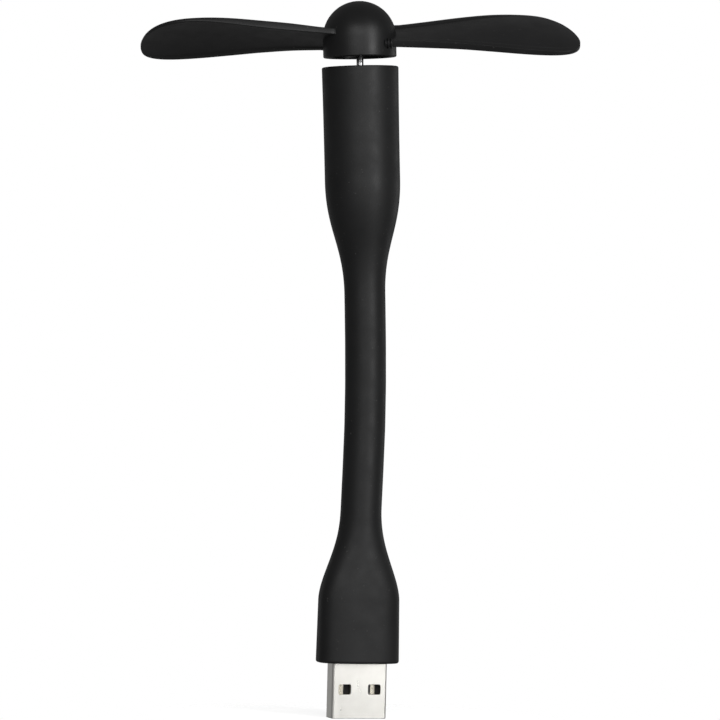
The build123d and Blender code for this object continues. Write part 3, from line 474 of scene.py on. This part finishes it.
def through(at, known, values):
    """Smooth curve through values: a cubic between each two, with slopes from the neighbours' mean."""
    slope = np.gradient(values, known)
    i = np.clip(np.searchsorted(known, at, side="right") - 1, 0, len(known) - 2)
    width = known[i + 1] - known[i]
    t = (at - known[i]) / width
    a, b = values[i], values[i + 1]
    return (
        a * (2 * t**3 - 3 * t**2 + 1)
        + b * (3 * t**2 - 2 * t**3)
        + slope[i] * width * (t**3 - 2 * t**2 + t)
        + slope[i + 1] * width * (t**3 - t**2)
    )


print("blade's widest chord mm:", round(float((RISINGS[0] + FALLINGS[0]).max()), 2))

# %% [markdown]
# The section is drawn as a loop: along the top from one edge to the other, down that edge's flat side,
# back along the underside and up the first edge's side. The lips are squarish: the rising one has
# rounded corners and the falling one nearly sharp ones. A short step leads down from lip to web. The
# web is arched, so that its underside is hollow, which is what makes the light change across a blade.


# %% The blade's surface
def blade_place(number, x, y, z):
    """Point x along a blade, y across it and z above it: lowered by the blade's sink, pitched and twisted
    about the blade's axis, leaned, and put on the motor. Inside the spinner the root may sink further."""
    share = (x - BLADE_ROOT) / (BLADE_TIP - BLADE_ROOT)
    twist = through(np.clip(share, 0, 1), SHARES, TWISTS[number])
    a = np.radians(twist + BLADE_PITCHES[number])
    z = z - through(np.clip(share, 0, 1), SHARES, SINKS[number])
    z = z + ROOT_SINKS[number] * np.minimum(share, 0)
    y, z = y * np.cos(a) - z * np.sin(a), y * np.sin(a) + z * np.cos(a)
    side = 1 if number == 0 else -1
    x, y, a = side * x, side * y, math.radians(BLADE_TILT)
    return on_motor(x * math.cos(a) + z * math.sin(a), y, z * math.cos(a) - x * math.sin(a) + BLADE_AXIS)


def blade_surface(name, number):
    """Grid of one blade. Rows are at u with share = 1 - (1 - u)^2, so that they gather at the tip."""
    known = 1 - np.sqrt(1 - SHARES)
    u = np.concatenate([ROOT_ROWS, np.linspace(0, LAST_ROW, 110)])
    inner = np.clip(u, 0, 1)
    share = 1 - (1 - inner) ** 2 + np.minimum(u, 0)
    lists = (RISINGS[number], FALLINGS[number], RISING_LIPS[number], FALLING_LIP, WEB, ARCH)
    rising, falling, rising_lip, falling_lip, web, arch = (through(inner, known, v)[:, None] for v in lists)
    half = (rising + falling) / 2
    corner = np.linspace(0, math.pi / 2, 6)
    flat = np.sin(np.linspace(-math.pi / 2, math.pi / 2, 74)[1:-1])
    none = 0 * flat
    place = np.concatenate([flat[::-1], -np.ones(12), flat, np.ones(12)])[None, :]
    out_y = np.concatenate([none, -np.sin(corner), -np.cos(corner), none, np.sin(corner), np.cos(corner)])
    in_z = np.concatenate([none, np.cos(corner), -np.sin(corner), none, -np.cos(corner), np.sin(corner)])
    up = np.concatenate([none + 1, np.ones(6), -np.ones(6), none - 1, -np.ones(6), np.ones(6)])
    on_edge = np.concatenate([none, np.ones(12), none, np.ones(12)])
    lip = np.where(place > 0, rising_lip, falling_lip)
    corner_size = np.where(place > 0, RISING_CORNER, FALLING_CORNER)
    round_off = np.minimum(np.minimum(corner_size, lip * CORNER_LIMIT), half)
    inward = (1 - np.abs(place)) * half
    thick = web + (lip - web) * (1 - smooth((inward - LIP_WIDTH) / LIP_STEP))
    y = (rising - falling) / 2 + place * (half - round_off) + out_y * round_off
    z = up * (thick / 2 - on_edge * round_off) + in_z * round_off + arch * (1 - place**2)
    x = BLADE_ROOT + share[:, None] * (BLADE_TIP - BLADE_ROOT) + 0 * y
    return grid_piece(name, blade_place(number, x, y, z), caps=True)


GRIP_FROM, GRIP_LENGTH, GRIP_RINGS, GRIP_INSET = 5.3, 1.9, 3, 0.15
GRIP_RADIUS, GRIP_SWELL, GRIP_FLATTEN = 0.95, 0.17, 0.85
GRIP_END, GRIP_TIP = 14, 0.02  # how fast the ends close, and the share of the radius left there


def root_grip(name, number):
    """Small rings round the end of the falling lip, where the blade is pressed into the spinner: a tube
    along the lip whose radius swells with the sine of its distance, once for each ring, and falls off as
    a square root at both ends."""
    t = np.linspace(0, 1, 49)[:, None]
    turn = np.linspace(0, 2 * math.pi, 24, endpoint=False)
    swell = GRIP_RADIUS + GRIP_SWELL * np.sin(t * 2 * GRIP_RINGS * math.pi)
    radius = swell * np.sqrt(np.clip(np.minimum(t, 1 - t) * GRIP_END, GRIP_TIP, 1))
    x = GRIP_FROM + GRIP_LENGTH * t + 0 * turn
    y = -(FALLINGS[number][0] - GRIP_INSET) + radius * np.cos(turn) * GRIP_FLATTEN
    return grid_piece(name, blade_place(number, x, y, radius * np.sin(turn)), caps=True)


for number in range(2):
    blade = blade_surface(f"soft_blade_{number + 1}", number)
    finish_piece(blade, "propeller", "blade_rubber", f"blade_{number + 1}")
    grip = root_grip(f"blade_grip_{number + 1}", number)
    finish_piece(grip, "propeller", "blade_rubber")

# %% [markdown]
# ## Finishes
# Each finish is a small tree of nodes on one shader. Even black rubber is never one flat colour: it has
# a fine grain, faint clouds where it has been handled, and a few specks of dust. Noise gives the grain
# and the clouds, and a ramp turns noise into rare bright specks. Metals get fine brushed lines instead,
# from noise that is stretched along one direction.


# %% Finish builder
def finish_tree(name, colour, rough, metallic=0.0):
    """A new material with its shader's plain values set. Returns the material, its nodes, links, shader."""
    material = bpy.data.materials.new(name)
    material.use_nodes = True
    nodes, links = material.node_tree.nodes, material.node_tree.links
    shader = nodes["Principled BSDF"]
    shader.inputs["Base Color"].default_value = (*colour, 1)
    shader.inputs["Roughness"].default_value = rough
    shader.inputs["Metallic"].default_value = metallic
    return material, nodes, links, shader


def coordinates(nodes, links, attribute=None, scale=(1, 1, 1)):
    """Place on the piece: its own coordinates, or a named attribute, through a Mapping node."""
    mapping = nodes.new("ShaderNodeMapping")
    mapping.inputs["Scale"].default_value = scale
    if attribute:
        source = nodes.new("ShaderNodeAttribute")
        source.attribute_name = attribute
        links.new(source.outputs["Vector"], mapping.inputs["Vector"])
    else:
        source = nodes.new("ShaderNodeTexCoord")
        links.new(source.outputs["Object"], mapping.inputs["Vector"])
    return mapping.outputs["Vector"]


def noise(nodes, links, where, scale, detail=3.0, rough=0.55):
    """Value noise with bumps about 1/scale metres across."""
    node = nodes.new("ShaderNodeTexNoise")
    node.inputs["Scale"].default_value = scale
    node.inputs["Detail"].default_value = detail
    node.inputs["Roughness"].default_value = rough
    links.new(where, node.inputs["Vector"])
    return node.outputs["Fac"]


def spread(nodes, links, value, low, high, from_low=0.3, from_high=0.7):
    """Maps a value from one range to another."""
    node = nodes.new("ShaderNodeMapRange")
    node.inputs["From Min"].default_value = from_low
    node.inputs["From Max"].default_value = from_high
    node.inputs["To Min"].default_value = low
    node.inputs["To Max"].default_value = high
    links.new(value, node.inputs["Value"])
    return node.outputs["Result"]


def mixed(nodes, links, share, first, second):
    """Colour between two, by a share."""
    node = nodes.new("ShaderNodeMix")
    node.data_type = "RGBA"
    for socket, colour in ((node.inputs["A"], first), (node.inputs["B"], second)):
        if isinstance(colour, tuple):
            socket.default_value = (*colour, 1)
        else:
            links.new(colour, socket)
    links.new(share, node.inputs["Factor"])
    return node.outputs["Result"]


def bumped(nodes, links, shader, height, distance, strength=1.0):
    """A bump of the given height in metres."""
    node = nodes.new("ShaderNodeBump")
    node.inputs["Distance"].default_value = distance
    node.inputs["Strength"].default_value = strength
    links.new(height, node.inputs["Height"])
    links.new(node.outputs["Normal"], shader.inputs["Normal"])


# %% Silicone, soft blades and plastic
SOFT_GLOSS = 0.36
CLOUD_SCALE, SPECK_SCALE, HANDLED_SCALE = 140.0, 1500.0, 260.0
SPECK_FROM, SPECK_FULL, SPECK_COLOUR = 0.70, 0.78, (0.30, 0.29, 0.28)
SOFT_GRAIN_HEIGHT, SOFT_GRAIN_STRENGTH = 0.00002, 0.35


def soft_black(name, dark, light, rough, grain, dust, attribute=None):
    """Matte black: clouds between two near blacks, a fine grain in the bump and rare pale specks."""
    material, nodes, links, shader = finish_tree(name, dark, rough[0])
    shader.inputs["Specular IOR Level"].default_value = SOFT_GLOSS
    where = coordinates(nodes, links, attribute)
    clouds = noise(nodes, links, where, CLOUD_SCALE, 4.0)
    colour = mixed(nodes, links, spread(nodes, links, clouds, 0.0, 1.0), dark, light)
    specks = noise(nodes, links, where, SPECK_SCALE, 2.0, 0.5)
    share = spread(nodes, links, specks, 0.0, dust, SPECK_FROM, SPECK_FULL)
    colour = mixed(nodes, links, share, colour, SPECK_COLOUR)
    links.new(colour, shader.inputs["Base Color"])
    handled = noise(nodes, links, where, HANDLED_SCALE, 3.0)
    links.new(spread(nodes, links, handled, *rough), shader.inputs["Roughness"])
    fine = noise(nodes, links, where, grain, 2.0)
    bumped(nodes, links, shader, fine, SOFT_GRAIN_HEIGHT, SOFT_GRAIN_STRENGTH)
    return material


silicone_look = ((0.0078, 0.0080, 0.0083), (0.0112, 0.0114, 0.0118), (0.46, 0.58), 5200.0, 0.12)
silicone = soft_black("black_silicone", *silicone_look, "on_body")
silicone_plain = soft_black("black_silicone_inside", *silicone_look)
blade_finish = soft_black(
    "black_soft_blade", (0.0095, 0.0095, 0.0098), (0.0125, 0.0125, 0.0130), (0.38, 0.48), 3800.0, 0.15
)
spinner_finish = soft_black(
    "black_satin_plastic", (0.0070, 0.0070, 0.0072), (0.0092, 0.0092, 0.0096), (0.36, 0.46), 3000.0, 0.10
)
mould_finish = soft_black(
    "black_hard_plastic", (0.0140, 0.0140, 0.0145), (0.0190, 0.0190, 0.0200), (0.40, 0.50), 2600.0, 0.15
)


# %% [markdown]
# Metals come next: the plated shell of the plug, the ground shaft, the drawn can and wire, copper and
# bronze. They differ in colour, in roughness and in how the fine lines run, so one function serves all.


# %% Metals and insulation
def metal(name, colour, second, rough, lines=(1, 1, 1), grain=900.0, depth=0.000001):
    """Metal with lines: noise stretched by the scale of each axis, in the roughness and bump, and faint clouds in
    the colour.
    """
    material, nodes, links, shader = finish_tree(name, colour, rough[0], 1.0)
    where = coordinates(nodes, links, scale=lines)
    streaks = noise(nodes, links, where, grain, 3.0)
    clouds = noise(nodes, links, coordinates(nodes, links), 220.0, 3.0)
    colour = mixed(nodes, links, spread(nodes, links, clouds, 0.0, 1.0), colour, second)
    links.new(colour, shader.inputs["Base Color"])
    links.new(spread(nodes, links, streaks, *rough), shader.inputs["Roughness"])
    bumped(nodes, links, shader, streaks, depth, 0.5)
    return material


def moulded(name, colour, second, rough, grain=2400.0):
    """Coloured plastic with faint clouds and a fine grain."""
    material, nodes, links, shader = finish_tree(name, colour, rough[0])
    where = coordinates(nodes, links)
    clouds = noise(nodes, links, where, 300.0, 3.0)
    cloudy = mixed(nodes, links, spread(nodes, links, clouds, 0.0, 1.0), colour, second)
    links.new(cloudy, shader.inputs["Base Color"])
    links.new(spread(nodes, links, noise(nodes, links, where, 800.0), *rough), shader.inputs["Roughness"])
    bumped(nodes, links, shader, noise(nodes, links, where, grain, 2.0), 0.00001, 0.3)
    return material


finishes = {
    "silicone": silicone_plain,
    "blade_rubber": blade_finish,
    "spinner_plastic": spinner_finish,
    "mould_plastic": mould_finish,
    "plug_steel": metal(
        "nickel_plated_shell", (0.88, 0.865, 0.82), (0.80, 0.785, 0.74), (0.27, 0.35), (1, 1, 0.12)
    ),
    "shaft_steel": metal(
        "ground_shaft_steel", (0.66, 0.66, 0.66), (0.56, 0.56, 0.57), (0.16, 0.28), (0.2, 0.2, 3)
    ),
    "core_steel": metal("annealed_wire", (0.32, 0.32, 0.33), (0.24, 0.24, 0.25), (0.40, 0.55), (1, 1, 0.1)),
    "can_steel": metal("drawn_can_steel", (0.60, 0.60, 0.59), (0.50, 0.50, 0.50), (0.26, 0.40), (1, 1, 0.15)),
    "magnet": moulded("ferrite_magnet", (0.030, 0.030, 0.033), (0.045, 0.045, 0.048), (0.55, 0.70)),
    "end_cap_plastic": moulded("white_nylon", (0.72, 0.71, 0.66), (0.66, 0.64, 0.58), (0.35, 0.48)),
    "brush_copper": metal("phosphor_bronze", (0.72, 0.45, 0.25), (0.60, 0.36, 0.20), (0.26, 0.40)),
    "bearing_bronze": metal(
        "sintered_bronze", (0.50, 0.36, 0.18), (0.38, 0.27, 0.14), (0.42, 0.60), grain=4000.0
    ),
    "lamination_steel": metal(
        "stacked_laminations", (0.26, 0.26, 0.27), (0.18, 0.18, 0.19), (0.40, 0.55), (0.1, 0.1, 6)
    ),
    "coil_copper": metal(
        "enamelled_copper", (0.66, 0.26, 0.11), (0.55, 0.20, 0.08),
        (0.22, 0.34), (0.3, 0.3, 5), 1400.0, 0.00004
    ),
    "washer_plastic": moulded("slip_washer_film", (0.80, 0.80, 0.77), (0.72, 0.72, 0.69), (0.30, 0.42)),
    "tongue_plastic": moulded("black_tongue", (0.030, 0.029, 0.027), (0.045, 0.043, 0.040), (0.35, 0.50)),
    "contact_metal": metal(
        "plated_contact", (0.72, 0.68, 0.58), (0.64, 0.60, 0.50), (0.22, 0.34), (1, 1, 0.1)
    ),
    "solder": metal("tin_solder", (0.62, 0.63, 0.64), (0.50, 0.51, 0.52), (0.24, 0.42), grain=1600.0),
    "lead_insulation": moulded("red_insulation", (0.42, 0.030, 0.022), (0.34, 0.024, 0.018), (0.35, 0.46)),
}
print("finishes:", len(finishes) + 1)

# %% [markdown]
# Every node of the exact model gets the finish that its slot names, and so does every new piece. The
# silicone skins use the version that reads its place on the straight body, so that the grain runs on
# across their joints and keeps still when the neck bends.

# %% Give each piece its finish
slot_of = {p["node"]: p["material_slot"] for p in frame["record"]["subparts"]}
for name, node in frame["nodes"].items():
    node.data.materials.clear()
    node.data.materials.append(finishes[slot_of[name]])
new_pieces = [o for o in scene.objects if o.type == "MESH" and "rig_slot" in o]
for piece in new_pieces:
    piece.data.materials.clear()
    on_skin = piece.data.attributes.get("on_body") is not None
    piece.data.materials.append(silicone if on_skin else finishes[piece["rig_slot"]])
print("new pieces with a finish:", len(new_pieces))

# %% [markdown]
# ## Floor, light and camera
# The fan stands on a pale floor that fades into a white surround. Black rubber shows its shape only by
# what it mirrors, so a tall soft light stands in front on the right and a wide one fills from the front.
# Two weak ones graze the sides from behind, and the left stays darker. The surround looks white but
# lights the fan gently. The floor is small, so that it hides little of a blade that swings low.


# %% Floor
FLOOR_RADIUS, FLOOR_GLOW, FADE_FROM, FADE_TO = 0.05, 0.72, 0.35, 0.95


def pale_floor(radius):
    """A round floor under the tip of the plug, clear towards its edge and from below."""
    tip = float(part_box("plug_shell")[0].z)
    rings = np.linspace(0.02, 1, 24)[:, None] * radius
    turn = np.linspace(0, 2 * math.pi, 96, endpoint=False)
    points = np.stack([rings * np.cos(turn), rings * np.sin(turn), 0 * rings * turn + tip], axis=-1)
    floor = grid_piece("floor", points[::-1])
    material, nodes, links, shader = finish_tree("pale_floor", (0.86, 0.86, 0.86), 0.9)
    shader.inputs["Emission Color"].default_value = (1, 1, 1, 1)
    shader.inputs["Emission Strength"].default_value = FLOOR_GLOW
    where = coordinates(nodes, links)
    length = nodes.new("ShaderNodeVectorMath")
    length.operation = "LENGTH"
    links.new(where, length.inputs[0])
    whole, gone = radius * FADE_FROM, radius * FADE_TO
    fade = spread(nodes, links, length.outputs["Value"], 1.0, 0.0, whole, gone)
    clear = nodes.new("ShaderNodeBsdfTransparent")
    side = nodes.new("ShaderNodeNewGeometry")
    front = nodes.new("ShaderNodeMath")
    front.operation = "SUBTRACT"
    front.inputs[0].default_value = 1.0
    links.new(side.outputs["Backfacing"], front.inputs[1])
    share = nodes.new("ShaderNodeMath")
    share.operation = "MULTIPLY"
    links.new(fade, share.inputs[0])
    links.new(front.outputs["Value"], share.inputs[1])
    mix = nodes.new("ShaderNodeMixShader")
    links.new(share.outputs["Value"], mix.inputs["Fac"])
    links.new(clear.outputs["BSDF"], mix.inputs[1])
    links.new(shader.outputs["BSDF"], mix.inputs[2])
    links.new(mix.outputs["Shader"], nodes["Material Output"].inputs["Surface"])
    floor.data.materials.append(material)
    floor.visible_diffuse = False
    floor.visible_glossy = False


pale_floor(FLOOR_RADIUS)

# %% Surround and lights
world = bpy.data.worlds.new("white_surround")
scene.world = world
world.use_nodes = True
wn, wl = world.node_tree.nodes, world.node_tree.links
wn.clear()
SEEN_STRENGTH, GENTLE_STRENGTH = 1.0, 0.16
seen, gentle = wn.new("ShaderNodeBackground"), wn.new("ShaderNodeBackground")
seen.inputs["Color"].default_value = (1, 1, 1, 1)
seen.inputs["Strength"].default_value = SEEN_STRENGTH
gentle.inputs["Color"].default_value = (1, 1, 1, 1)
gentle.inputs["Strength"].default_value = GENTLE_STRENGTH
path, join = wn.new("ShaderNodeLightPath"), wn.new("ShaderNodeMixShader")
out = wn.new("ShaderNodeOutputWorld")
wl.new(path.outputs["Is Camera Ray"], join.inputs["Fac"])
wl.new(gentle.outputs["Background"], join.inputs[1])
wl.new(seen.outputs["Background"], join.inputs[2])
wl.new(join.outputs["Shader"], out.inputs["Surface"])

VIEW_TURN = math.radians(-16.0)
middle = Vector((0, 0, 0.066))  # of the fan, where the lights point


def softbox(name, turn, rise, distance, size, power):
    """An area light that faces the fan. turn is degrees to the right of the camera, rise is above it."""
    a, e = VIEW_TURN + math.radians(turn), math.radians(rise)
    back = Vector((math.sin(a) * math.cos(e), -math.cos(a) * math.cos(e), math.sin(e)))
    data = bpy.data.lights.new(name, "AREA")
    data.shape, data.size, data.size_y, data.energy = "RECTANGLE", size[0], size[1], power
    lamp = bpy.data.objects.new(name, data)
    lamp.location = middle + back * distance
    lamp.rotation_mode = "QUATERNION"
    lamp.rotation_quaternion = back.to_track_quat("Z", "Y")
    scene.collection.objects.link(lamp)
    return lamp


softbox("key_front_right", 40, 14, 0.45, (0.13, 0.38), 0.98)
softbox("fill_front", -6, 18, 0.8, (0.7, 0.5), 2.4)
softbox("rim_right", 132, 2, 0.8, (0.20, 0.5), 0.26)
softbox("rim_left", -150, -4, 0.8, (0.24, 0.4), 0.06)

# %% [markdown]
# The camera stands about a metre away at half the fan's height, a little to its left, with a long lens.
# The fan leans a touch to the right as it rises, so the camera is rolled by the same small angle.

# %% Camera
DISTANCE, ROLL = 1.0, math.radians(1.4)
VIEW_WIDTH = 152.784  # of what the view takes in at the fan, and then the middle of the view, all in mm
AIM_RIGHT, AIM_UP = 0.58355, 64.21172
SENSOR_WIDTH = 36.0
data = bpy.data.cameras.new("camera")
data.sensor_width = SENSOR_WIDTH
data.lens = SENSOR_WIDTH / (VIEW_WIDTH * MM) * DISTANCE
camera = bpy.data.objects.new("camera", data)
right = Vector((math.cos(VIEW_TURN), math.sin(VIEW_TURN), 0))
up = Vector((0, 0, 1))
right_rolled = right * math.cos(ROLL) + up * math.sin(ROLL)
up_rolled = up * math.cos(ROLL) - right * math.sin(ROLL)
back = right_rolled.cross(up_rolled)
aim = right_rolled * AIM_RIGHT * MM + up_rolled * AIM_UP * MM
turn = Matrix((right_rolled, up_rolled, back)).transposed()
camera.matrix_world = Matrix.Translation(aim + back * DISTANCE) @ turn.to_4x4()
scene.collection.objects.link(camera)
scene.camera = camera
scene.view_settings.view_transform = "Standard"
print("lens mm:", round(data.lens, 1), "camera at:", [round(c, 4) for c in camera.matrix_world.translation])
